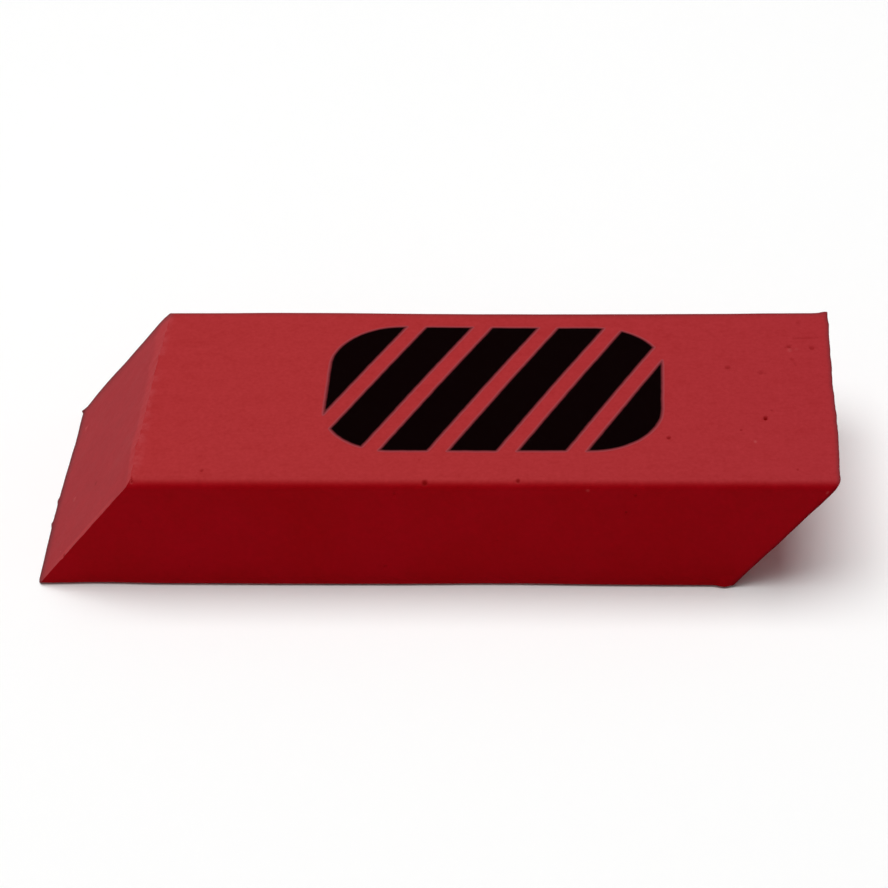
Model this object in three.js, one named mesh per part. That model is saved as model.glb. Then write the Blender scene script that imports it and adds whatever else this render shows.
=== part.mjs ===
// Slant-ended rubbing block with a flat printed mark on its top face.
//
// Units are millimetres and +Z is up. The block lies on z = 0, and the origin is the
// bottom centre of its bounding box. +X runs along the block, towards the end that
// overhangs; -Y is the front.
//
// The block is a length of extruded rubber strip, sliced off at both ends by parallel
// slanting cuts. Its four long edges are rounded and the edges of the two cuts are
// sharp. Nothing on it moves and nothing is inside it. The mark is a rounded panel of
// slanting stripes; each stripe is a separate film of ink that rests on the rubber.

import * as THREE from "three";

// Block
const FACE_LENGTH = 52.5; // the top and bottom faces, along X
const WIDTH = 23.0; // along Y
const HEIGHT = 9.7; // along Z, without the ink
const CUT_RUN = 7.9; // how far each end cut leans along X, from the bottom to the top
const FRONT_TOP_RADIUS = 0.55; // of the four long edges
const BACK_TOP_RADIUS = 0.3;
const BACK_BOTTOM_RADIUS = 0.15;
const FRONT_BOTTOM_RADIUS = 0.25;
const EDGE_DIVISIONS = 4; // of each rounded long edge

// Printed mark
const MARK_LENGTH = 26.0; // along X
const MARK_WIDTH = 17.0; // along Y
const MARK_CORNER_RADIUS = 5.5;
const MARK_CORNER_DIVISIONS = 8;
const MARK_SHIFT_X = 0.35; // from the middle of the top face
const MARK_SHIFT_Y = 1.0;
const STRIPE_COUNT = 6;
const STRIPE_GAP = 1.2; // bare rubber between two stripes, square to their sides
const STRIPE_LEAN = THREE.MathUtils.degToRad(25); // from +Y towards +X
const INK_THICKNESS = 0.05;

// The top face is half a cut's run ahead of the middle of the block
const TOP_CENTRE_X = CUT_RUN / 2;

const rubber = new THREE.MeshStandardMaterial({
  color: 0xa83033,
  roughness: 0.6,
  metalness: 0,
});

const ink = new THREE.MeshStandardMaterial({
  color: 0x060505,
  roughness: 0.45,
  metalness: 0,
});

// A rectangle about the origin with rounded corners, drawn anticlockwise. The radii
// are those of the lower right, upper right, upper left and lower left corners.
function roundedRectangle(width, height, radii) {
  const corners = [
    [1, -1],
    [1, 1],
    [-1, 1],
    [-1, -1],
  ];
  const shape = new THREE.Shape();
  corners.forEach(([right, up], index) => {
    const radius = radii[index];
    const centreX = right * (width / 2 - radius);
    const centreY = up * (height / 2 - radius);
    const start = ((index - 1) * Math.PI) / 2;
    shape.absarc(centreX, centreY, radius, start, start + Math.PI / 2);
  });
  return shape;
}

// The strip's cross-section is drawn in Y and Z and extruded along X. Leaning the
// extrusion over in X then turns its square ends into the two parallel cuts.
function blockGeometry() {
  const section = roundedRectangle(WIDTH, HEIGHT, [
    BACK_BOTTOM_RADIUS,
    BACK_TOP_RADIUS,
    FRONT_TOP_RADIUS,
    FRONT_BOTTOM_RADIUS,
  ]);
  const geometry = new THREE.ExtrudeGeometry(section, {
    depth: FACE_LENGTH,
    bevelEnabled: false,
    curveSegments: EDGE_DIVISIONS,
  });
  const alongX = new THREE.Matrix4().makeBasis(
    new THREE.Vector3(0, 1, 0),
    new THREE.Vector3(0, 0, 1),
    new THREE.Vector3(1, 0, 0),
  );
  const lean = new THREE.Matrix4().makeShear(0, 0, 0, 0, CUT_RUN / HEIGHT, 0);
  geometry.applyMatrix4(alongX);
  geometry.translate(-FACE_LENGTH / 2, 0, 0);
  geometry.applyMatrix4(lean);
  geometry.translate(0, 0, HEIGHT / 2);
  return geometry;
}

// The part of a convex outline that lies on the near side of a line: the line is
// where a point's distance along the unit vector `normal` is `limit`.
function cutOutline(points, normal, limit) {
  const kept = [];
  points.forEach((point, index) => {
    const next = points[(index + 1) % points.length];
    const pointExcess = point.dot(normal) - limit;
    const nextExcess = next.dot(normal) - limit;
    if (pointExcess <= 0) {
      kept.push(point);
    }
    if (pointExcess * nextExcess < 0) {
      kept.push(point.clone().lerp(next, pointExcess / (pointExcess - nextExcess)));
    }
  });
  return kept;
}

// The outlines of the stripes: a rounded panel cut by equal slanting gaps
function stripeOutlines() {
  const radius = MARK_CORNER_RADIUS;
  const radii = Array(4).fill(radius);
  const panel = roundedRectangle(MARK_LENGTH, MARK_WIDTH, radii);
  const outline = panel.getPoints(MARK_CORNER_DIVISIONS);
  const across = new THREE.Vector2(Math.cos(STRIPE_LEAN), -Math.sin(STRIPE_LEAN));
  const back = across.clone().negate();
  const reach =
    (MARK_LENGTH / 2 - radius) * Math.abs(across.x) +
    (MARK_WIDTH / 2 - radius) * Math.abs(across.y) +
    radius;
  const pitch = (2 * reach + STRIPE_GAP) / STRIPE_COUNT;
  return Array.from({ length: STRIPE_COUNT }, (_, index) => {
    const start = -reach + index * pitch;
    const end = start + pitch - STRIPE_GAP;
    return cutOutline(cutOutline(outline, across, end), back, -start);
  });
}

function makeBarBody() {
  const bar = new THREE.Mesh(blockGeometry(), rubber);
  bar.name = "bar_body";
  return bar;
}

function makeInkStripe(outline, index) {
  const film = new THREE.ExtrudeGeometry(new THREE.Shape(outline), {
    depth: INK_THICKNESS,
    bevelEnabled: false,
  });
  const stripe = new THREE.Mesh(film, ink);
  stripe.name = `ink_stripe_${index + 1}`;
  return stripe;
}

const mark = new THREE.Group();
mark.position.set(TOP_CENTRE_X + MARK_SHIFT_X, MARK_SHIFT_Y, HEIGHT);
mark.add(...stripeOutlines().map(makeInkStripe));

const block = new THREE.Group();
block.add(makeBarBody(), mark);

export default block;
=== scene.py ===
"""Studio picture of a slant-ended red rubber block with a black printed mark.

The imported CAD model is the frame: every size here comes from it. The CAD block is
replaced by a finely meshed one with the marks of how it was made (an extruded skin,
knife-cut ends, burrs, pits), and each CAD ink stripe by a thin film that follows the
rubber. Units are metres; MM turns the millimetre constants into metres.
"""

import math
import random

import bmesh
import bpy
import numpy as np
from mathutils import Matrix, Vector, noise
from mathutils.geometry import delaunay_2d_cdt
from mathutils.kdtree import KDTree


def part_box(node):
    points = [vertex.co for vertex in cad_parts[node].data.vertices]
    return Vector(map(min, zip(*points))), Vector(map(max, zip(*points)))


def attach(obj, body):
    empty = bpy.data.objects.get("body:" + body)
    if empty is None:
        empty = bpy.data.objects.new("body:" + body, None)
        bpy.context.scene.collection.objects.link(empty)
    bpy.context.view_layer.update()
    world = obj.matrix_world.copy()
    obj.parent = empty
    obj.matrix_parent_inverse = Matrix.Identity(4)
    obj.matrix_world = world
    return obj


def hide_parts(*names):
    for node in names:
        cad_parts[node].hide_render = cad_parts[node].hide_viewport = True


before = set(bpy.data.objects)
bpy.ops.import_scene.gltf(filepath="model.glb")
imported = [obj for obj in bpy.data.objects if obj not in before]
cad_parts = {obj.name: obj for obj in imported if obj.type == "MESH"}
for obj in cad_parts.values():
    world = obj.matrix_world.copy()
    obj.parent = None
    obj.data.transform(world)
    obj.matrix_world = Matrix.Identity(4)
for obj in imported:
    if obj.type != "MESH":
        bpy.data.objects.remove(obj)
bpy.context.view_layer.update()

MM = 0.001
SEED = 41

# ------------------------------------------------------------------ sizes from the frame
BLOCK = "bar_body"
STRIPES = sorted(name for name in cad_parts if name.startswith("ink_stripe"))
SAME = 0.01 * MM  # two CAD coordinates nearer than this are the same one

block_low, block_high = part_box(BLOCK)
block_corners = [vertex.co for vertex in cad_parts[BLOCK].data.vertices]
HALF_WIDTH = (block_high.y - block_low.y) / 2
HEIGHT = block_high.z - block_low.z
CUT_RUN = min(c.x for c in block_corners if c.z > block_high.z - SAME) - block_low.x
FACE_LENGTH = block_high.x - block_low.x - CUT_RUN
SLANT = math.hypot(CUT_RUN, HEIGHT)  # length of an end face, up its slope

# ------------------------------------------------------------------ camera
CAMERA_AZIMUTH = math.radians(4.70)
CAMERA_ELEVATION = math.radians(35.76)
CAMERA_ROLL = math.radians(-2.70)
CAMERA_DISTANCE = 244.9 * MM
CAMERA_AIM = Vector((0.30, 0.0, 4.99)) * MM
CAMERA_SENSOR = 36.0
CAMERA_LENS = 127.9
CAMERA_NEAR = 0.01
CAMERA_FAR = 10.0

# ------------------------------------------------------------------ mesh of the block
GRID = 0.27 * MM  # spacing of the mesh on the skin
CAP_GRID = 0.19 * MM  # and on the cuts
CAP_MARGIN = 0.16 * MM  # bare band between a cut's rim and its inner points
FRONT_TOP_RADIUS = 0.65 * MM
BACK_TOP_RADIUS = 0.30 * MM
BACK_BOTTOM_RADIUS = 0.15 * MM
FRONT_BOTTOM_RADIUS = 0.34 * MM
ARC_STEPS = 8
RIM_STEPS = (0.04 * MM, 0.10 * MM, 0.19 * MM, 0.33 * MM)  # first columns beside a cut
SHARP_ANGLE = math.radians(32.0)  # an edge that turns more than this is shaded sharp

# Unevenness of the skin: (wavelength, height) of each layer of noise
SKIN_WAVES = ((15.0 * MM, 0.050 * MM), (3.4 * MM, 0.010 * MM), (0.9 * MM, 0.0035 * MM))
STREAK_LENGTH = 18.0 * MM
STREAK_WIDTH = 0.45 * MM
STREAK_HEIGHT = 0.0035 * MM
SEAT_GAP = 0.05 * MM  # the underside's mean distance from the floor
BACK_RISE = 0.04 * MM  # of the top's back edge at its left end
BACK_SAG = 0.23 * MM  # how far that edge comes down from there towards the right
BACK_RECOVERY = 0.08 * MM  # and how far it comes up again at its right end
SAG_FROM, SAG_TO = 0.15, 0.6  # where it comes down, as shares of the length
RECOVERY_FROM, RECOVERY_TO = 0.7, 1.0

# Unevenness of the knife cuts
CUT_NOISE_APART = 40.0 * MM  # sets the two cuts apart in the noise, so that they differ
CUT_WAVES = ((6.0 * MM, 0.045 * MM), (1.6 * MM, 0.020 * MM))
DRAG_LENGTH = 7.0 * MM  # of the blade's drag lines, up the slope
DRAG_WIDTH = 0.32 * MM
DRAG_HEIGHT = 0.006 * MM
LEFT_TWIST = 0.075 * MM  # of the left cut's bottom edge at its ends, about the middle
RIGHT_SHORT_RUN = 0.06 * MM  # how much less the right cut leans than the nominal one
LOW_BULGE = 0.135 * MM  # of the left cut's bottom edge, halfway across
ROLLOVER_DEPTH = 0.10 * MM  # where the blade pressed a cut's top edge over
ROLLOVER_CORNER = 0.16 * MM  # and how much more at its back end,
ROLLOVER_CORNER_FROM = 0.6  # which starts at this share of the half width
ROLLOVER_FRONT = 0.37 * MM  # height of the pressed band at the two ends
ROLLOVER_BACK = 1.10 * MM
RAGGED_WAVES = ((2.4 * MM, 0.110 * MM), (0.8 * MM, 0.060 * MM), (0.3 * MM, 0.025 * MM))
RAGGED_REACH = 0.80 * MM  # how far below a cut's top edge its raggedness goes
RIGHT_RAGGEDNESS = 0.45  # of the right cut, compared with the left one
LIP_HEIGHT = 0.035 * MM  # burr round the rim of a cut
LIP_WIDTH = 0.07 * MM
LIP_REACH = 4.0 * LIP_WIDTH  # there is no burr further than this from a cut
LIP_WAVELENGTH = 1.1 * MM
LIP_GAPS = (0.5, 0.9)  # mean height of the burr and its swing: it is missing in places
RIM_WIDTH = 0.38 * MM  # of the darker line along some of the block's edges
RIM_ON_TOP = 0.75 * MM  # and how wide it is along the top's back edge,
RIM_ON_CUT_BACK = 1.25 * MM  # the left cut's back edge
RIM_ON_CUT_BASE = 0.85 * MM  # and its bottom edge
RIM_FALLOFF = 1.5  # how fast the line fades: 1 evenly, more faster at first

# Pits in the top: distance from the far end of its front edge along -X and +Y,
# radius and depth, in millimetres
TOP_PITS = (
    (5.25, 8.35, 0.16, 0.11),
    (8.00, 15.20, 0.18, 0.045),
    (5.40, 14.45, 0.20, 0.035),
    (12.55, 5.85, 0.14, 0.07),
    (3.20, 18.05, 0.18, 0.050),
    (1.42, 17.85, 0.20, 0.045),
    (2.30, 21.50, 0.22, 0.020),
    (3.00, 16.25, 0.15, 0.030),
    (23.65, 0.42, 0.16, 0.030),
    (30.55, 0.25, 0.20, 0.035),
    (52.40, 0.28, 0.10, 0.050),
    (52.44, 0.46, 0.09, 0.055),
    (52.46, 0.64, 0.08, 0.040),
)
# Scuffs on the top: start and end by the same two distances, in millimetres
SCUFFS = (
    (2.75, 19.20, 0.90, 19.30),
    (3.05, 16.45, 2.75, 15.45),
    (5.65, 14.50, 5.10, 14.35),
    (3.45, 17.95, 3.00, 18.20),
)
SCUFF_STEP = 0.14  # a scuff is a row of pits this far apart, also in millimetres
SCUFF_RADIUS = 0.10
SCUFF_DEPTH = 0.018
PIT_FOR_DARKEST_SHADE = 0.11 * MM  # a pit this deep has the darkest painted shade at its bottom
PIT_STRETCH = 1.5  # how much longer pits and flecks are across the strip than along it
PIT_BRIM = 0.12  # height of a pit's raised brim, as a share of its depth
PIT_BRIM_AT = 1.5  # and how far from the centre it is, in radii
PIT_BRIM_NARROWNESS = 3.0
RANDOM_PITS = 16
RANDOM_PIT_RADIUS = (0.07 * MM, 0.13 * MM)
RANDOM_PIT_DEPTH = (0.02 * MM, 0.05 * MM)
RANDOM_PIT_ALONG = (0.04, 0.96)  # where they may be, as shares of the length,
RANDOM_PIT_ACROSS = (-0.94, 0.94)  # of the half width
RANDOM_PIT_UP = (0.1, 0.9)  # and of the height
MARK_REACH = 2.5  # how far a pit, fleck or burr has an effect, in radii
FINE_REACH = 1.8  # how far the mesh round a pit is finer, in radii
FINE_CUTS = 3  # new points on each edge there
MERGE = 1e-9  # the triangulation takes points nearer than this as one
CRUMB_RADIUS = 0.13  # of the raised middle of a pale fleck on the left cut, in millimetres
CRUMB_PUSH = (-0.07, 0.0, 0.07)

# ------------------------------------------------------------------ ink
INK_FILM = 0.018 * MM
INK_RIM_FILM = 0.009 * MM
INK_ROOT = 0.012 * MM  # how far a film's underside lies in the rubber
INK_STEP = 0.10 * MM  # spacing of the points round a stripe
INK_GRID = 0.26 * MM
INK_MARGIN = 0.10 * MM  # how far a film's thin edge reaches beyond the CAD stripe
INK_EDGE_BAND = 0.38 * MM  # width of that thin edge
INK_EDGE_LOOPS = 4
INK_LOOP_SPACE = 0.9  # share of its inset that a loop's point has to keep from the rim
INK_GRID_SPACE = 0.4 * INK_GRID  # and how far the grid's points keep from the thin edge
INK_TEST_STEP = 4  # of a rim's points, every so many is enough to tell what lies inside
INK_WAVES = ((0.9 * MM, 0.018 * MM), (0.28 * MM, 0.010 * MM))
INK_CORNER_PASSES = 3


def search_tree(points):
    """A tree for finding the points near a place."""
    tree = KDTree(len(points))
    for index, point in enumerate(points):
        tree.insert(point, index)
    tree.balance()
    return tree


def layered_noise(point, layers):
    """Sum of noise layers at a point; each layer is (wavelength, height)."""
    return sum(height * noise.noise(point / wavelength) for wavelength, height in layers)


def smoothstep(value, start, end):
    """0 below start, 1 above end and a smooth ramp between them."""
    ramp = min(max((value - start) / (end - start), 0.0), 1.0)
    return ramp * ramp * (3.0 - 2.0 * ramp)


# ------------------------------------------------------------------ shape of the block
def left_cut(z):
    """X of the left cut's plane at height z."""
    return block_low.x + CUT_RUN * z / HEIGHT


def edge_radius(y, z):
    """Radius of the long edge nearest to a point of the section."""
    if z > HEIGHT / 2:
        return BACK_TOP_RADIUS if y > 0 else FRONT_TOP_RADIUS
    return BACK_BOTTOM_RADIUS if y > 0 else FRONT_BOTTOM_RADIUS


def from_core(y, z, radius):
    """Offset of a point of the section from the flat-sided core inside its edges."""
    core_y = min(max(y, -HALF_WIDTH + radius), HALF_WIDTH - radius)
    core_z = min(max(z, radius), HEIGHT - radius)
    return Vector((0.0, y - core_y, z - core_z))


def skin_direction(y, z):
    """Outward direction of the skin at a point of the section, and how near the skin
    the point is: 1 on it, 0 further inside than the edge's radius."""
    radius = edge_radius(y, z)
    outward = from_core(y, z, radius)
    depth = outward.length
    if depth < SAME:
        return Vector(), 0.0
    return outward / depth, min(depth / radius, 1.0)


def skin_height(point, outward):
    """Height of the uneven skin over the plain shape."""
    upward = max(outward.z, 0.0)
    height = layered_noise(point, SKIN_WAVES)
    streak = Vector((point.x / STREAK_LENGTH, point.y / STREAK_WIDTH, point.z / STREAK_WIDTH))
    height += STREAK_HEIGHT * noise.noise(streak)
    along = (point.x - left_cut(point.z)) / FACE_LENGTH
    backness = smoothstep(point.y, 0.0, HALF_WIDTH)
    rise = BACK_RISE - BACK_SAG * smoothstep(along, SAG_FROM, SAG_TO)
    rise += BACK_RECOVERY * smoothstep(along, RECOVERY_FROM, RECOVERY_TO)
    height += rise * upward * backness
    height -= SEAT_GAP * max(-outward.z, 0.0)
    return height


def cut_offset(y, z, right):
    """How far a cut's surface is from its plane, along X."""
    place = Vector((CUT_NOISE_APART if right else -CUT_NOISE_APART, y, z * SLANT / HEIGHT))
    offset = layered_noise(place, CUT_WAVES)
    drag = Vector((place.x / MM, y / DRAG_WIDTH, place.z / DRAG_LENGTH))
    offset += DRAG_HEIGHT * noise.noise(drag)
    lowness = 1.0 - z / HEIGHT
    nearness = max(0.0, 1.0 - (HEIGHT - z) / RAGGED_REACH)
    ragged = nearness * layered_noise(Vector((place.x, y, 0.0)), RAGGED_WAVES)
    if right:
        return offset + RIGHT_RAGGEDNESS * ragged + RIGHT_SHORT_RUN * lowness
    offset += ragged
    across = y / HALF_WIDTH
    offset += LEFT_TWIST * across * max(lowness, across)
    offset -= LOW_BULGE * lowness * lowness * (1.0 - across * across)
    reach = ROLLOVER_FRONT + (ROLLOVER_BACK - ROLLOVER_FRONT) * (across + 1.0) / 2.0
    below_top = max(0.0, 1.0 - (HEIGHT - z) / reach)
    depth = ROLLOVER_DEPTH * reach / ROLLOVER_BACK
    depth += ROLLOVER_CORNER * smoothstep(across, ROLLOVER_CORNER_FROM, 1.0)
    return offset + depth * below_top * below_top


def edge_drop(inward):
    """How far the rounded front edge lies below the top, at a distance in from the
    front."""
    short = max(FRONT_TOP_RADIUS - inward, 0.0)
    return FRONT_TOP_RADIUS - math.sqrt(FRONT_TOP_RADIUS**2 - short**2)


def rim_darkness(from_left, y, z):
    """1 on the edges that have a darker line along them, 0 further than its width."""
    left, right = from_left, FACE_LENGTH - from_left
    back, front = HALF_WIDTH - y, HALF_WIDTH + y
    top, base = HEIGHT - z, z
    rims = (
        max(back / RIM_ON_TOP, top / RIM_WIDTH),
        max(back / RIM_ON_CUT_BACK, left / RIM_WIDTH),
        max(base / RIM_ON_CUT_BASE, left / RIM_WIDTH),
        max(right, top) / RIM_WIDTH,
        max(right, front) / RIM_WIDTH,
        max(back, right) / RIM_WIDTH,
        max(back, base) / RIM_WIDTH,
        max(base, right) / RIM_WIDTH,
    )
    return max(1.0 - min(rims), 0.0) ** RIM_FALLOFF


def lip_height(point, distance):
    """Height of the burr at a distance from a cut."""
    if distance > LIP_REACH:
        return 0.0
    mean, swing = LIP_GAPS
    unevenness = mean + swing * noise.noise(point / LIP_WAVELENGTH)
    return LIP_HEIGHT * max(unevenness, 0.0) * math.exp(-distance / LIP_WIDTH)


def section_points():
    """The strip's rounded section as (y, z), anticlockwise from the back bottom edge."""
    arcs = []
    for quarter, (back, up) in enumerate(((1, 0), (1, 1), (0, 1), (0, 0))):
        edge_y = HALF_WIDTH if back else -HALF_WIDTH
        radius = edge_radius(edge_y, HEIGHT * up)
        centre_y = edge_y - math.copysign(radius, edge_y)
        centre_z = HEIGHT - radius if up else radius
        first = 90.0 * (quarter - 1)
        angles = [math.radians(first + 90.0 * step / ARC_STEPS) for step in range(ARC_STEPS + 1)]
        arcs.append([
            Vector((centre_y + radius * math.cos(a), centre_z + radius * math.sin(a)))
            for a in angles
        ])
    points = []
    for arc, following in zip(arcs, arcs[1:] + arcs[:1]):
        points += arc
        start, end = arc[-1], following[0]
        steps = round((end - start).length / GRID)
        points += [start.lerp(end, step / steps) for step in range(1, steps)]
    return points


def column_distances():
    """Distances from the left cut of the mesh's columns, closer together at the rims."""
    steps = round((FACE_LENGTH - 2 * RIM_STEPS[-1]) / GRID)
    middle = np.linspace(RIM_STEPS[-1], FACE_LENGTH - RIM_STEPS[-1], steps + 1)
    start = [0.0, *RIM_STEPS[:-1]]
    end = [FACE_LENGTH - distance for distance in reversed(start)]
    return [*start, *middle, *end]


def inside_section(y, z, margin):
    """True if (y, z) is inside the rounded section by more than margin."""
    radius = max(edge_radius(y, z), margin)
    inward_enough = max(abs(y) - HALF_WIDTH, -z, z - HEIGHT) < -margin
    return inward_enough and from_core(y, z, radius).length <= radius - margin + SAME


def cap_inner_points():
    """Grid points (y, z) of an end face, away from its rim."""
    rise = CAP_GRID * HEIGHT / SLANT
    columns = np.arange(-HALF_WIDTH, HALF_WIDTH, CAP_GRID)
    rows = np.arange(0.0, HEIGHT, rise)
    return [
        Vector((y, z))
        for z in rows
        for y in columns
        if inside_section(y, z, CAP_MARGIN)
    ]


def cap_triangles(rim, inner):
    """Triangles of an end face, as numbers into rim + inner."""
    flat = [Vector((p.x, p.y * SLANT / HEIGHT)) for p in rim + inner]
    edges = [(i, (i + 1) % len(rim)) for i in range(len(rim))]
    made = delaunay_2d_cdt(flat, edges, [], 1, MERGE)
    source = [originals[0] for originals in made[3]]
    return [[source[corner] for corner in face] for face in made[2]]


def plain_block():
    """The block's plain shape as a bmesh, fine enough to carry the unevenness."""
    rim = section_points()
    inner = cap_inner_points()
    columns = column_distances()
    mesh = bmesh.new()
    rings = [
        [mesh.verts.new((left_cut(p.y) + distance, p.x, p.y)) for p in rim]
        for distance in columns
    ]
    for ring, following in zip(rings, rings[1:]):
        for i in range(len(rim)):
            j = (i + 1) % len(rim)
            mesh.faces.new((ring[i], following[i], following[j], ring[j]))
    triangles = cap_triangles(rim, inner)
    for ring, distance in ((rings[0], 0.0), (rings[-1], FACE_LENGTH)):
        corners = ring + [
            mesh.verts.new((left_cut(p.y) + distance, p.x, p.y)) for p in inner
        ]
        for triangle in triangles:
            mesh.faces.new([corners[i] for i in triangle])
    bmesh.ops.recalc_face_normals(mesh, faces=mesh.faces)
    return mesh


# ------------------------------------------------------------------ pits and burrs
def pit_list():
    """Pits in the skin as (centre, radius, depth)."""
    top_far_end = Vector((block_high.x, -HALF_WIDTH, HEIGHT))
    pits = []
    for inward, backward, radius, depth in TOP_PITS:
        centre = top_far_end + Vector((-inward, backward, 0.0)) * MM
        centre.z -= edge_drop(backward * MM)
        pits.append((centre, radius * MM, depth * MM))
    for start_in, start_back, end_in, end_back in SCUFFS:
        start = Vector((-start_in, start_back, 0.0))
        end = Vector((-end_in, end_back, 0.0))
        steps = round((end - start).length / SCUFF_STEP)
        for step in range(steps + 1):
            centre = top_far_end + start.lerp(end, step / steps) * MM
            pits.append((centre, SCUFF_RADIUS * MM, SCUFF_DEPTH * MM))
    dice = random.Random(SEED)
    for index in range(RANDOM_PITS):
        along = dice.uniform(*RANDOM_PIT_ALONG) * FACE_LENGTH
        if index % 2:
            y = dice.uniform(*RANDOM_PIT_ACROSS) * HALF_WIDTH
            z = HEIGHT
        else:
            y = dice.choice((-1.0, 1.0)) * HALF_WIDTH
            z = dice.uniform(*RANDOM_PIT_UP) * HEIGHT
        radius = dice.uniform(*RANDOM_PIT_RADIUS)
        depth = dice.uniform(*RANDOM_PIT_DEPTH)
        pits.append((Vector((left_cut(z) + along, y, z)), radius, depth))
    return pits


def refine_at(mesh, pits):
    """Cuts the faces round the pits into finer ones."""
    mesh.verts.ensure_lookup_table()
    tree = search_tree([vertex.co for vertex in mesh.verts])
    edges = set()
    for centre, radius, _ in pits:
        for _, index, _ in tree.find_range(centre, FINE_REACH * radius + GRID):
            edges.update(mesh.verts[index].link_edges)
    edges = sorted(edges, key=lambda edge: edge.index)
    bmesh.ops.subdivide_edges(mesh, edges=edges, cuts=FINE_CUTS, use_grid_fill=True)


def stretched_distance(offset):
    """Length of an offset, with its part across the strip counted shorter."""
    return Vector((offset.x, offset.y / PIT_STRETCH, offset.z)).length


def pit_profile(away):
    """Depth of a pit at a distance from its centre, in radii: a round hollow with a
    faint raised brim."""
    from_brim = (away - PIT_BRIM_AT) * PIT_BRIM_NARROWNESS
    return math.exp(-(away**4)) - PIT_BRIM * math.exp(-(from_brim**2))


def corners_in_mm():
    """The block's left and right ends, below and above, halfway across, and the way
    from there to its back."""
    left_low = Vector((block_low.x, 0.0, 0.0)) / MM
    left_top = Vector((left_cut(HEIGHT), 0.0, HEIGHT)) / MM
    run = Vector((FACE_LENGTH, 0.0, 0.0)) / MM
    back = Vector((0.0, HALF_WIDTH, 0.0)) / MM
    return left_low, left_top, left_low + run, left_top + run, back


def cut_flecks():
    """Flecks of the left cut as (centre, radius, paleness) in millimetres."""
    places = (
        (7.3, 1.2, 0.17, 0.35), (-3.8, 2.4, 0.17, 0.35), (-5.1, 4.9, 0.17, -0.5),
        (-11.25, 2.65, 0.12, -0.8),
    )
    return [
        (Vector((left_cut(z * MM) / MM, y, z)), radius, paleness)
        for y, z, radius, paleness in places
    ]


def burr_list():
    """Lumps and hollows of the edges as (centre, radius, push)."""
    left_low, left_top, right_low, right_top, back = corners_in_mm()
    burrs = (
        (left_low + back, 0.22, (-0.20, 0.0, 0.0)),
        (left_low.lerp(left_top, 0.25) + back, 3.2, (-0.11, 0.0, 0.0)),
        (left_low + Vector((0.0, 7.5, 0.0)), 3.2, (0.075, 0.0, 0.0)),
        (left_low + Vector((0.0, -0.85, 0.1)), 0.35, (-0.09, 0.0, 0.0)),
        (left_low + Vector((0.0, -3.9, 0.1)), 0.28, (-0.11, 0.0, 0.0)),
        (left_low - back, 0.35, (0.10, 0.03, 0.0)),
        (right_top + back + Vector((-0.2, 0.0, 0.0)), 0.45, (0.0, 0.04, 0.12)),
        (right_low - back + Vector((-0.5, 0.0, 0.15)), 0.50, (0.0, -0.24, 0.0)),
        (right_top - back + Vector((-1.0, 0.0, -1.3)), 1.5, (0.10, 0.0, 0.0)),
        (right_top + Vector((0.0, -4.5, 0.0)), 4.0, (0.13, 0.0, 0.0)),
        (right_low.lerp(right_top, 0.5) - back, 3.2, (0.06, 0.0, 0.0)),
        (right_top + Vector((-3.2, 6.2, 0.0)), 0.30, (0.0, 0.0, 0.05)),
        (right_top + back + Vector((0.0, -2.0, 0.0)), 0.7, (0.06, 0.0, 0.0)),
        (left_top + Vector((0.0, -6.3, 0.0)), 2.6, (-0.20, 0.0, 0.0)),
        (left_low.lerp(left_top, 0.27) - back + Vector((0.0, 0.2, 0.0)), 0.22, (0.09, 0.0, 0.0)),
        (left_low - back + Vector((4.9, 0.0, 0.0)), 3.0, (0.0, 0.12, 0.0)),
        (left_low - back + Vector((35.7, 0.0, 0.0)), 6.0, (0.0, 0.13, 0.0)),
    )
    crumbs = [(centre, CRUMB_RADIUS, CRUMB_PUSH) for centre, _, tone in cut_flecks() if tone > 0]
    return [
        (centre * MM, radius * MM, Vector(push) * MM) for centre, radius, push in [*burrs, *crumbs]
    ]


def fleck_list():
    """Pale crumbs, dark specks and the painted shade of nicks in the top's front edge as (centre,
    radius, paleness), dark if negative.
    """
    _, _, _, right_top, back = corners_in_mm()
    near_corner = right_top - back
    flecks = [
        (near_corner + Vector((-1.00, 0.0, -0.72)), 0.08, 0.16),
        (near_corner + Vector((-1.08, 0.0, -0.85)), 0.08, 0.16),
        (near_corner + Vector((-18.5, 0.0, -0.65)), 0.13, 0.12),
        (near_corner + Vector((-6.1, 5.35, 0.0)), 0.12, 0.22),
        (near_corner + Vector((-3.15, 17.5, 0.0)), 0.18, 0.12),
        (near_corner + Vector((-2.60, 17.7, 0.0)), 0.15, 0.06),
        # Painted shade of two nicks in the top's front edge: flat dark spots over shallow pits
        (near_corner + Vector((-23.65, 0.42, -0.04)), 0.16, -0.55),
        (near_corner + Vector((-30.55, 0.25, -0.14)), 0.22, -0.60),
        *cut_flecks(),
    ]
    return [(centre * MM, radius * MM, paleness) for centre, radius, paleness in flecks]


def pit_and_fleck_marks(tree, count, pits, flecks):
    """Depth and tone of each of the mesh's points: tone is above 0 where it is paler and
    below 0 where it is darker."""
    depths = [0.0] * count
    tones = [0.0] * count
    for centre, radius, depth in pits:
        for point, index, _ in tree.find_range(centre, MARK_REACH * PIT_STRETCH * radius):
            hollow = pit_profile(stretched_distance(point - centre) / radius)
            depths[index] = max(depths[index], depth * hollow, key=abs)
            # Pits are painted darker the deeper they are: painted shade in the hollows
            tones[index] = min(tones[index], -min(depth / PIT_FOR_DARKEST_SHADE, 1.0) * hollow)
    for centre, radius, paleness in flecks:
        for point, index, _ in tree.find_range(centre, MARK_REACH * PIT_STRETCH * radius):
            distance = stretched_distance(point - centre) / radius
            tones[index] += paleness * math.exp(-(distance**4))
    return depths, tones


def burr_shifts(tree, count, burrs):
    """How far the burrs move each of the mesh's points."""
    shifts = [Vector() for _ in range(count)]
    for centre, radius, push in burrs:
        for _, index, distance in tree.find_range(centre, MARK_REACH * radius):
            shifts[index] += push * math.exp(-((distance / radius) ** 2))
    return shifts


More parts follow.
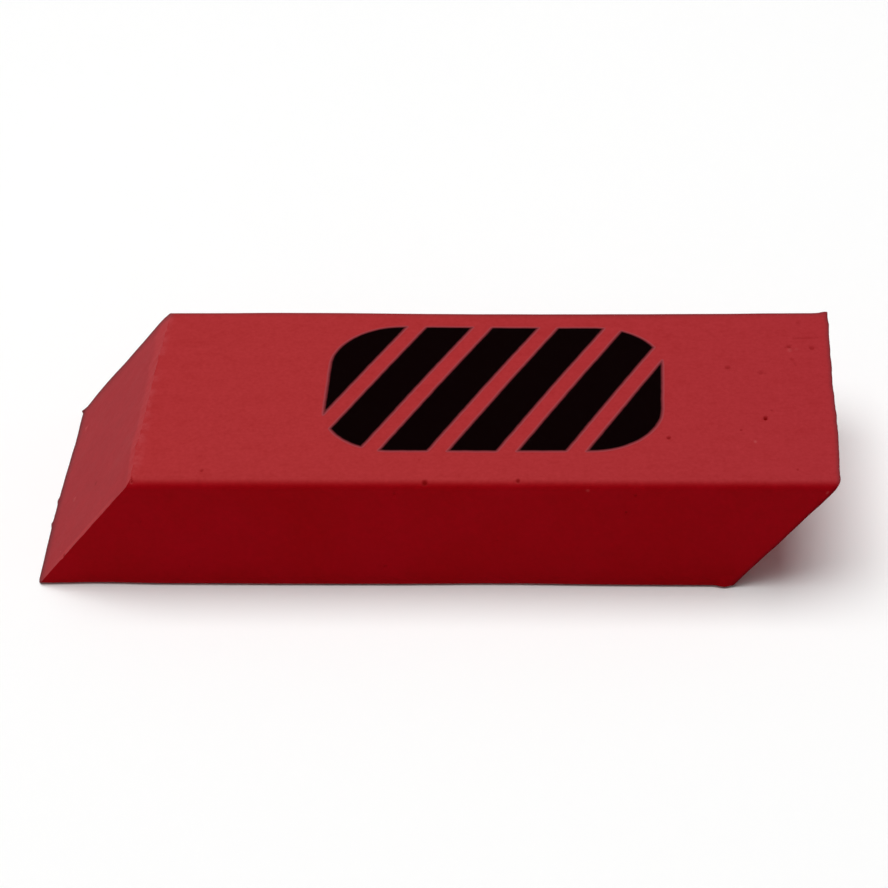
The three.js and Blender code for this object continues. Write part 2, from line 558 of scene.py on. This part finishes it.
def make_block():
    """The rubber block with its skin, cuts, lips, pits, burrs and flecks."""
    mesh = plain_block()
    pits = pit_list()
    burrs = burr_list()
    flecks = fleck_list()
    refine_at(mesh, pits + flecks)
    tree = search_tree([vertex.co for vertex in mesh.verts])
    depths, tones = pit_and_fleck_marks(tree, len(mesh.verts), pits, flecks)
    shifts = burr_shifts(tree, len(mesh.verts), burrs)
    dark = mesh.verts.layers.float.new("dark")
    pale = mesh.verts.layers.float.new("pale")
    rim = mesh.verts.layers.float.new("rim")
    for vertex, depth, tone, shift in zip(mesh.verts, depths, tones, shifts):
        x, y, z = vertex.co
        from_left = x - left_cut(z)
        along = from_left / FACE_LENGTH
        # dark holds the dark specks and the painted shade of pits and nicks
        vertex[dark] = max(-tone, 0.0)
        vertex[pale] = max(tone, 0.0)
        vertex[rim] = rim_darkness(from_left, y, z)
        outward, nearness = skin_direction(y, z)
        if nearness > 0.0:
            height = skin_height(vertex.co, outward) - depth
            height += lip_height(vertex.co, min(from_left, FACE_LENGTH - from_left))
            shift += outward * height * nearness
        shift.x += cut_offset(y, z, False) * (1.0 - along) + cut_offset(y, z, True) * along
        vertex.co += shift
        vertex.co.z = max(vertex.co.z, 0.0)
    return finished_object(mesh, "rubber_block")


def finished_object(mesh, name):
    """A shaded object from a bmesh, with its sharp edges marked."""
    mesh.normal_update()
    for face in mesh.faces:
        face.smooth = True
    for edge in mesh.edges:
        edge.smooth = len(edge.link_faces) == 2 and edge.calc_face_angle(0.0) < SHARP_ANGLE
    data = bpy.data.meshes.new(name)
    mesh.to_mesh(data)
    mesh.free()
    made = bpy.data.objects.new(name, data)
    bpy.context.scene.collection.objects.link(made)
    return made


# ------------------------------------------------------------------ ink
def stripe_outline(node):
    """A CAD stripe's convex outline, anticlockwise, as 2D points."""
    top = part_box(node)[1].z
    points = {
        (round(v.co.x, 7), round(v.co.y, 7))
        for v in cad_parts[node].data.vertices
        if v.co.z > top - SAME
    }
    points = [Vector(p) for p in points]
    centre = sum(points, Vector((0.0, 0.0))) / len(points)
    return sorted(points, key=lambda p: math.atan2(p.y - centre.y, p.x - centre.x))


def even_loop(points, step):
    """The same closed outline with its points a step apart."""
    loop = []
    for start, end in zip(points, points[1:] + points[:1]):
        count = max(1, round((end - start).length / step))
        loop += [start.lerp(end, i / count) for i in range(count)]
    return loop


def loop_normals(loop):
    """Outward direction at each point of an anticlockwise loop."""
    normals = []
    for i in range(len(loop)):
        along = loop[(i + 1) % len(loop)] - loop[i - 1]
        normals.append(Vector((along.y, -along.x)).normalized())
    return normals


def printed_loop(outline):
    """A stripe's outline as it prints: corners a little round, edges a little ragged."""
    loop = even_loop(outline, INK_STEP)
    for _ in range(INK_CORNER_PASSES):
        loop = [
            (loop[i - 1] + 2.0 * loop[i] + loop[(i + 1) % len(loop)]) / 4.0
            for i in range(len(loop))
        ]
    ragged = []
    for point, normal in zip(loop, loop_normals(loop)):
        ragged.append(point + normal * layered_noise(point.to_3d(), INK_WAVES))
    return ragged


def inside_loop(point, loop, margin):
    """True if the point is inside a nearly convex loop by more than margin."""
    tested = slice(None, None, INK_TEST_STEP)
    for start, normal in zip(loop[tested], loop_normals(loop)[tested]):
        if (point - start).dot(normal) > -margin:
            return False
    return True


def make_ink(node):
    """A thin ink film, thinner along its edge, that lies on the rubber where a CAD
    stripe is."""
    rim = printed_loop(stripe_outline(node))
    normals = loop_normals(rim)
    rim = [p + n * INK_MARGIN for p, n in zip(rim, normals)]
    rim_tree = search_tree([point.to_3d() for point in rim])
    points = list(rim)
    for loop in range(1, INK_EDGE_LOOPS + 1):
        inset = INK_EDGE_BAND * loop / INK_EDGE_LOOPS
        inner = [p - n * inset for p, n in zip(rim, normals)]
        points += [p for p in inner if rim_tree.find(p.to_3d())[2] > INK_LOOP_SPACE * inset]
    low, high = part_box(node)
    for x in np.arange(low.x, high.x, INK_GRID):
        for y in np.arange(low.y, high.y, INK_GRID):
            if inside_loop(Vector((x, y)), rim, INK_EDGE_BAND + INK_GRID_SPACE):
                points.append(Vector((x, y)))
    edges = [(i, (i + 1) % len(rim)) for i in range(len(rim))]
    made = delaunay_2d_cdt(points, edges, [], 1, MERGE)

    mesh = bmesh.new()
    thin = mesh.verts.layers.float.new("thin")
    upper, under = [], []
    for point in made[0]:
        base = Vector((point.x, point.y, HEIGHT))
        surface = HEIGHT + skin_height(base, Vector((0.0, 0.0, 1.0)))
        thinness = max(0.0, 1.0 - rim_tree.find(point.to_3d())[2] / INK_EDGE_BAND)
        film = INK_FILM + (INK_RIM_FILM - INK_FILM) * thinness
        upper.append(mesh.verts.new((point.x, point.y, surface + film)))
        under.append(mesh.verts.new((point.x, point.y, surface - INK_ROOT)))
        upper[-1][thin] = under[-1][thin] = thinness
    for face in made[2]:
        mesh.faces.new([upper[i] for i in face])
        mesh.faces.new([under[i] for i in reversed(face)])
    partner = dict(zip(upper, under))
    for edge in [e for e in mesh.edges if len(e.link_faces) == 1]:
        start, end = edge.verts
        if start in partner and end in partner:
            mesh.faces.new((start, end, partner[end], partner[start]))
    loose = [v for v in mesh.verts if not v.link_faces]
    bmesh.ops.delete(mesh, geom=loose, context="VERTS")
    bmesh.ops.recalc_face_normals(mesh, faces=mesh.faces)
    return finished_object(mesh, node.replace("ink_stripe", "ink_film"))


# ------------------------------------------------------------------ materials
class Nodes:
    """Small helper that adds shader nodes and joins them up."""

    def __init__(self, name):
        self.material = bpy.data.materials.new(name)
        self.material.use_nodes = True
        self.tree = self.material.node_tree
        self.shader = self.tree.nodes["Principled BSDF"]

    def add(self, kind, settings=None, **inputs):
        """A node of that kind; inputs are numbers, colours or other nodes' outputs."""
        made = self.tree.nodes.new("ShaderNode" + kind)
        for key, value in (settings or {}).items():
            setattr(made, key, value)
        for key, value in inputs.items():
            self.feed(made.inputs[key.replace("_", " ")], value)
        return made

    def feed(self, socket, value):
        """Sets a socket to a value or links an output to it."""
        if isinstance(value, bpy.types.NodeSocket):
            self.tree.links.new(value, socket)
        else:
            socket.default_value = value

    def ramp(self, value, start, end):
        """0 to 1 as value goes from start to end."""
        return self.add(
            "MapRange", {"clamp": True}, Value=value, From_Min=start, From_Max=end
        ).outputs["Result"]

    def math(self, operation, first, second=0.0):
        """One step of arithmetic."""
        made = self.add("Math", {"operation": operation})
        self.feed(made.inputs[0], first)
        self.feed(made.inputs[1], second)
        return made.outputs["Value"]

    def mix(self, factor, first, second, blend="MIX"):
        """The first colour blended with the second."""
        made = self.add("Mix", {"data_type": "RGBA", "blend_type": blend})
        self.feed(made.inputs["Factor"], factor)
        self.feed(made.inputs["A"], first)
        self.feed(made.inputs["B"], second)
        return made.outputs["Result"]

    def noise(self, place, texture):
        """Noise of a texture, which is its (scale, detail, roughness)."""
        scale, detail, roughness = texture
        return self.add(
            "TexNoise", Vector=place, Scale=scale, Detail=detail, Roughness=roughness
        ).outputs["Fac"]

    def swing(self, value, amount):
        """A value between 0 and 1 turned into one that swings by amount about 0."""
        return self.math("MULTIPLY", self.math("SUBTRACT", value, 0.5), amount)

    def weighted(self, weights, **values):
        """Sum of values, each multiplied by the weight of the same name."""
        total = None
        for name, value in values.items():
            part = self.math("MULTIPLY", value, weights[name])
            total = part if total is None else self.math("ADD", total, part)
        return total

    def times(self, first, *others):
        """Product of values."""
        for other in others:
            first = self.math("MULTIPLY", first, other)
        return first

    def roughness(self, mottle, limits):
        """A roughness that goes from one limit to the other with the mottling."""
        start, end = ROUGHNESS_LEVELS
        low, high = limits
        return self.add(
            "MapRange", Value=mottle, From_Min=start, From_Max=end, To_Min=low, To_Max=high
        ).outputs["Result"]

    def point_value(self, name):
        """A number stored at the points of the mesh."""
        return self.add("Attribute", {"attribute_name": name}).outputs["Fac"]

    def stretched(self, place, scale):
        """Object coordinates scaled by a different number along each axis."""
        return self.add("Mapping", Vector=place, Scale=scale).outputs["Vector"]


# Colours, linear
RUBBER_RED = (0.310, 0.0007, 0.0048, 1.0)
RUBBER_DARK = (0.285, 0.0004, 0.0028, 1.0)
# Painted sheen: the paler, lighter red of the faces that look up, a lit copy of the rubber red
# above
SHEEN_TOP_RED = (0.368, 0.0275, 0.0300, 1.0)
SHEEN_TOP_DARK = (0.350, 0.0235, 0.0265, 1.0)
# Painted sheen on the cuts: greyer and paler than the skin; the darker one goes in patches and
# towards the bottom
CUT_SHEEN_RED = (0.368, 0.0262, 0.0325, 1.0)
CUT_SHEEN_DARK = (0.342, 0.0235, 0.0300, 1.0)
CUT_WORN = (0.420, 0.0330, 0.0390, 1.0)
PALE_FLECK = (0.56, 0.14, 0.14, 1.0)
# Dark specks, and the painted shade of pits and nicks
DARK_SPECK_AND_PIT_SHADE = (0.165, 0.0001, 0.0001, 1.0)
INK_BLACK = (0.0024, 0.0003, 0.0004, 1.0)
INK_EDGE_PINK = (0.310, 0.0440, 0.0530, 1.0)
SCUFF_PINK = (0.385, 0.0420, 0.0470, 1.0)
FLOOR_LIGHT = (0.94, 0.94, 0.935, 1.0)
FLOOR_DIM = (0.92, 0.92, 0.92, 1.0)

# Colours that multiply another one
RIM_TINT = (0.42, 0.97, 0.97, 1.0)
FAR_TINT = (0.95, 0.90, 1.00, 1.0)
PLAIN = (1.0, 1.0, 1.0, 1.0)
SHADE_LOW = (0.76, 0.45, 0.45, 1.0)
SHADE_HIGH = (1.24, 1.55, 1.55, 1.0)

# Noise textures: features per metre, detail, roughness
CLOUD = (160.0, 4.0, 0.55)
WEAR = (170.0, 1.0, 0.55)
PATCHES = (330.0, 2.0, 0.55)
MOTTLE = (900.0, 5.0, 0.65)
SPECKLE = (3000.0, 2.0, 0.7)
GRAIN = (5200.0, 3.0, 0.6)
STREAKS = (1.0, 4.0, 0.6)
DRAG_LINES = (1.0, 3.0, 0.6)
INK_MOTTLE = (1500.0, 4.0, 0.6)
INK_GRAIN = (7000.0, 2.0, 0.55)
FLOOR_CLOUD = (9.0, 2.0, 0.55)
STREAK_SCALE = (60.0, 1500.0, 1500.0)  # streaks per metre along each axis
DRAG_SCALE = (300.0, 2600.0, 300.0)
CRUMBS_PER_METRE = 420.0  # places for crumbs, most of them empty
CRUMB_SIZE = 0.045  # as a share of the distance between places
DARK_CRUMBS = 0.93  # a place with a random number above this has a dark crumb
PALE_CRUMBS = 0.05  # and below this a pale one
DARK_CRUMB_STRENGTH = 0.6
PALE_CRUMB_STRENGTH = 0.4

# Shares of each texture where several are added up
SHADING = {"mottle": 0.38, "streaks": 0.12, "speckle": 0.50}
RELIEF = {"grain": 0.45, "mottle": 0.8, "lines": 0.5}
FUZZ = {"mottle": 0.7, "cloud": 0.3}
CUT_DIMMING = {"patches": 0.6, "lowness": 0.4}

# Ranges over which a look goes from nothing to full strength
CUT_FACING = (0.40, 0.60)  # by how far a face turns to an end
SKIN_DARKER = (0.30, 0.75)  # these by the texture's level
SHEEN_TOP_DARKER = (0.25, 0.80)
PATCH_LEVELS = (0.35, 0.65)
WEAR_LEVELS = (0.42, 0.55)
SCUFF_LEVELS = (0.44, 0.56)
WORN_DROP = (1.15, 0.70)  # by the depth below a cut's top edge, in heights of the band
WORN_RAGGEDNESS = {"cloud": 0.9, "mottle": 1.4}  # how much that depth swings
INK_TO_PINK = (0.08, 0.74)  # and these by how thin the ink is
INK_TO_RUBBER = (0.82, 1.00)
INK_UNEVENNESS = 0.2  # how much the thinness swings

ROUGHNESS_LEVELS = (0.2, 0.8)  # of the mottling, where the roughness has its limits
RUBBER_ROUGHNESS = (0.52, 0.68)
INK_ROUGHNESS = (0.45, 0.62)
SHEEN_UNEVENNESS = 0.10
SHEEN_TIGHTNESS = 4.5  # the higher, the flatter the skin has to lie to get the painted sheen
FRONT_WEAR_AT = 0.50 * MM  # distance of the worn line from a cut's front edge
FRONT_WEAR_WIDTH = 0.40 * MM
SCUFF_STRIP = 0.70 * MM  # width of the scuffed strip beside the left cut
SCUFF_STRIP_FULL = 0.05 * MM  # and of the part where it is strongest


def worn_cut(n, spot, place, cloud, mottle):
    """Where a cut is worn paler: a band along its top edge, wider towards the back, and
    patches of a narrow one along its front edge."""
    reach = n.add(
        "MapRange", Value=spot.outputs["Y"], From_Min=-HALF_WIDTH, From_Max=HALF_WIDTH,
        To_Min=ROLLOVER_FRONT, To_Max=ROLLOVER_BACK,
    ).outputs["Result"]
    drop = n.math("DIVIDE", n.math("SUBTRACT", HEIGHT, spot.outputs["Z"]), reach)
    drop = n.math("ADD", drop, n.swing(cloud, WORN_RAGGEDNESS["cloud"]))
    drop = n.math("ADD", drop, n.swing(mottle, WORN_RAGGEDNESS["mottle"]))
    top_band = n.ramp(drop, *WORN_DROP)
    from_front = n.math("ADD", spot.outputs["Y"], HALF_WIDTH)
    from_line = n.math("ABSOLUTE", n.math("SUBTRACT", from_front, FRONT_WEAR_AT))
    front_line = n.ramp(from_line, FRONT_WEAR_WIDTH, FRONT_WEAR_WIDTH / 4)
    patches = n.ramp(n.noise(place, WEAR), *WEAR_LEVELS)
    return n.math("MAXIMUM", top_band, n.times(front_line, patches))


def scuffed_top(n, spot, cloud, mottle):
    """Where the top is scuffed: a patchy strip beside the left cut."""
    cut_edge = left_cut(HEIGHT)
    strip = n.ramp(spot.outputs["X"], cut_edge + SCUFF_STRIP, cut_edge + SCUFF_STRIP_FULL)
    fuzz = n.weighted(FUZZ, mottle=mottle, cloud=cloud)
    return n.times(strip, n.ramp(fuzz, *SCUFF_LEVELS))


def with_crumbs(n, place, colour):
    """The colour with crumbs scattered over it and with the mesh's own marks, which include the
    painted shade of pits and nicks.
    """
    crumbs = n.add(
        "TexVoronoi", {"feature": "F1"}, Vector=place, Scale=CRUMBS_PER_METRE, Randomness=1.0
    )
    crumb = n.math("LESS_THAN", crumbs.outputs["Distance"], CRUMB_SIZE)
    chance = n.add("SeparateColor", Color=crumbs.outputs["Color"]).outputs["Red"]
    is_dark = n.math("GREATER_THAN", chance, DARK_CRUMBS)
    is_pale = n.math("LESS_THAN", chance, PALE_CRUMBS)
    dark = n.times(crumb, is_dark, DARK_CRUMB_STRENGTH)
    pale = n.times(crumb, is_pale, PALE_CRUMB_STRENGTH)
    # Dark crumbs and specks, and the painted shade of pits and nicks
    colour = n.mix(n.math("MAXIMUM", dark, n.point_value("dark")), colour, DARK_SPECK_AND_PIT_SHADE)
    return n.mix(n.math("MAXIMUM", pale, n.point_value("pale")), colour, PALE_FLECK)


def rubber_material():
    """Red rubber: saturated upright skin; a paler red where it faces up and greyer cuts, both
    painted sheen standing in for how the light falls.
    """
    n = Nodes("red rubber")
    place = n.add("TexCoord").outputs["Object"]
    spot = n.add("SeparateXYZ", Vector=place)
    cloud = n.noise(place, CLOUD)
    mottle = n.noise(place, MOTTLE)
    speckle = n.noise(place, SPECKLE)
    grain = n.noise(place, GRAIN)
    streaks = n.noise(n.stretched(place, STREAK_SCALE), STREAKS)
    drag = n.noise(n.stretched(place, DRAG_SCALE), DRAG_LINES)

    normal = n.add("SeparateXYZ", Vector=n.add("NewGeometry").outputs["Normal"])
    # How much a face looks up, which sets where the painted sheen goes
    upness = n.math("ABSOLUTE", normal.outputs["Z"])
    upness = n.math("ADD", upness, n.swing(mottle, SHEEN_UNEVENNESS))
    flat_up = n.ramp(n.math("POWER", upness, SHEEN_TIGHTNESS), 0.0, 1.0)
    cut_side = n.ramp(n.math("ABSOLUTE", normal.outputs["X"]), *CUT_FACING)

    skin = n.mix(n.ramp(cloud, *SKIN_DARKER), RUBBER_RED, RUBBER_DARK)
    painted_sheen = n.mix(n.ramp(mottle, *SHEEN_TOP_DARKER), SHEEN_TOP_RED, SHEEN_TOP_DARK)
    colour = n.mix(flat_up, skin, painted_sheen)
    # Painted sheen on the cuts, darker in patches and towards the bottom
    patches = n.ramp(n.noise(place, PATCHES), *PATCH_LEVELS)
    lowness = n.ramp(spot.outputs["Z"], HEIGHT, 0.0)
    dimness = n.weighted(CUT_DIMMING, patches=patches, lowness=lowness)
    colour = n.mix(cut_side, colour, n.mix(dimness, CUT_SHEEN_RED, CUT_SHEEN_DARK))
    worn = n.times(worn_cut(n, spot, place, cloud, mottle), cut_side)
    colour = n.mix(worn, colour, CUT_WORN)
    scuffs = n.times(scuffed_top(n, spot, cloud, mottle), flat_up)
    colour = n.mix(scuffs, colour, SCUFF_PINK)

    # The whole block a little darker and less pink towards its right end
    far = n.ramp(spot.outputs["X"], 0.0, block_high.x)
    colour = n.mix(1.0, colour, n.mix(far, PLAIN, FAR_TINT), "MULTIPLY")
    colour = n.mix(1.0, colour, n.mix(n.point_value("rim"), PLAIN, RIM_TINT), "MULTIPLY")
    shades = n.weighted(SHADING, mottle=mottle, streaks=streaks, speckle=speckle)
    colour = n.mix(1.0, colour, n.mix(shades, SHADE_LOW, SHADE_HIGH), "MULTIPLY")
    n.feed(n.shader.inputs["Base Color"], with_crumbs(n, place, colour))
    n.feed(n.shader.inputs["Roughness"], n.roughness(mottle, RUBBER_ROUGHNESS))
    n.shader.inputs["Specular IOR Level"].default_value = 0.02

    lines = n.mix(cut_side, streaks, drag)
    relief = n.weighted(RELIEF, grain=grain, mottle=mottle, lines=lines)
    bump = n.add("Bump", Height=relief, Strength=0.35, Distance=0.02 * MM)
    n.feed(n.shader.inputs["Normal"], bump.outputs["Normal"])
    return n.material


def ink_material():
    """Black ink that fades to pink and then to the rubber's red along its edge."""
    n = Nodes("black ink")
    place = n.add("TexCoord").outputs["Object"]
    mottle = n.noise(place, INK_MOTTLE)
    thin = n.math("ADD", n.point_value("thin"), n.swing(mottle, INK_UNEVENNESS))
    colour = n.mix(n.ramp(thin, *INK_TO_PINK), INK_BLACK, INK_EDGE_PINK)
    # At its very edge the ink fades into the top's red with its painted sheen
    colour = n.mix(n.ramp(thin, *INK_TO_RUBBER), colour, SHEEN_TOP_RED)
    n.feed(n.shader.inputs["Base Color"], colour)
    n.feed(n.shader.inputs["Roughness"], n.roughness(mottle, INK_ROUGHNESS))
    n.shader.inputs["Specular IOR Level"].default_value = 0.005
    grain = n.noise(place, INK_GRAIN)
    bump = n.add("Bump", Height=grain, Strength=0.25, Distance=0.01 * MM)
    n.feed(n.shader.inputs["Normal"], bump.outputs["Normal"])
    return n.material


def floor_material():
    """Matt, nearly white."""
    n = Nodes("pale floor")
    place = n.add("TexCoord").outputs["Object"]
    tone = n.mix(n.noise(place, FLOOR_CLOUD), FLOOR_DIM, FLOOR_LIGHT)
    n.feed(n.shader.inputs["Base Color"], tone)
    n.shader.inputs["Roughness"].default_value = 0.9
    n.shader.inputs["Specular IOR Level"].default_value = 0.0
    return n.material


# ------------------------------------------------------------------ studio
FLOOR_RADIUS = 0.9
SWEEP_RADIUS = 0.35
WALL_HEIGHT = 0.9
SWEEP_STEPS = 16
TURN_STEPS = 96

WORLD_STRENGTH = 0.15
# Each light's direction (azimuth from +Y towards +X, elevation), distance, width,
# height and watts
LIGHTS = {
    "overhead": (0.0, math.radians(88.0), 0.62, 0.60, 0.60, 4.0),
    "left": (math.radians(-75.0), math.radians(60.0), 0.65, 0.40, 0.40, 0.45),
}


def make_floor():
    """A round floor that sweeps up into a wall all the way round."""
    profile = [(0.0, 0.0), (FLOOR_RADIUS / 2, 0.0)]
    for step in range(SWEEP_STEPS + 1):
        angle = math.radians(90.0 * step / SWEEP_STEPS)
        profile.append((
            FLOOR_RADIUS + SWEEP_RADIUS * math.sin(angle),
            SWEEP_RADIUS * (1.0 - math.cos(angle)),
        ))
    profile.append((FLOOR_RADIUS + SWEEP_RADIUS, WALL_HEIGHT))
    mesh = bmesh.new()
    line = [mesh.verts.new((radius, 0.0, height)) for radius, height in profile]
    edges = [mesh.edges.new(pair) for pair in zip(line, line[1:])]
    bmesh.ops.spin(
        mesh, geom=line + edges, cent=(0, 0, 0), axis=(0, 0, 1),
        angle=2 * math.pi, steps=TURN_STEPS,
    )
    bmesh.ops.remove_doubles(mesh, verts=mesh.verts, dist=1e-5)
    bmesh.ops.recalc_face_normals(mesh, faces=mesh.faces)
    bmesh.ops.reverse_faces(mesh, faces=mesh.faces)
    return finished_object(mesh, "floor")


def make_lights():
    """Soft square lights that face the block."""
    for name, (azimuth, elevation, distance, width, height, watts) in LIGHTS.items():
        lamp = bpy.data.lights.new(name, "AREA")
        lamp.shape = "RECTANGLE"
        lamp.size = width
        lamp.size_y = height
        lamp.energy = watts
        holder = bpy.data.objects.new(name, lamp)
        towards = Vector((
            math.sin(azimuth) * math.cos(elevation),
            math.cos(azimuth) * math.cos(elevation),
            math.sin(elevation),
        ))
        holder.location = towards * distance
        holder.rotation_euler = towards.to_track_quat("Z", "Y").to_euler()
        bpy.context.scene.collection.objects.link(holder)


def make_world():
    """A faint even white light from all round."""
    world = bpy.data.worlds.new("studio")
    world.use_nodes = True
    background = world.node_tree.nodes["Background"]
    background.inputs["Color"].default_value = (1.0, 1.0, 1.0, 1.0)
    background.inputs["Strength"].default_value = WORLD_STRENGTH
    bpy.context.scene.world = world


def make_camera():
    """A camera that looks at the block from the front and above, slightly rolled."""
    backward = Vector((
        math.sin(CAMERA_AZIMUTH) * math.cos(CAMERA_ELEVATION),
        -math.cos(CAMERA_AZIMUTH) * math.cos(CAMERA_ELEVATION),
        math.sin(CAMERA_ELEVATION),
    ))
    lens = bpy.data.cameras.new("camera")
    lens.sensor_width = CAMERA_SENSOR
    lens.lens = CAMERA_LENS
    lens.clip_start = CAMERA_NEAR
    lens.clip_end = CAMERA_FAR
    camera = bpy.data.objects.new("camera", lens)
    level = backward.to_track_quat("Z", "Y").to_matrix().to_4x4()
    roll = Matrix.Rotation(CAMERA_ROLL, 4, "Z")
    place = Matrix.Translation(CAMERA_AIM + backward * CAMERA_DISTANCE)
    camera.matrix_world = place @ level @ roll
    bpy.context.scene.collection.objects.link(camera)
    bpy.context.scene.camera = camera


# ------------------------------------------------------------------ scene
make_camera()
make_world()
make_lights()

floor = make_floor()
floor.data.materials.append(floor_material())

block = make_block()
block.data.materials.append(rubber_material())
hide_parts(BLOCK)
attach(block, "root")

ink = ink_material()
for stripe in STRIPES:
    film = make_ink(stripe)
    film.data.materials.append(ink)
    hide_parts(stripe)
    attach(film, "root")

view = bpy.context.scene.view_settings
view.view_transform = "Standard"
view.look = "None"
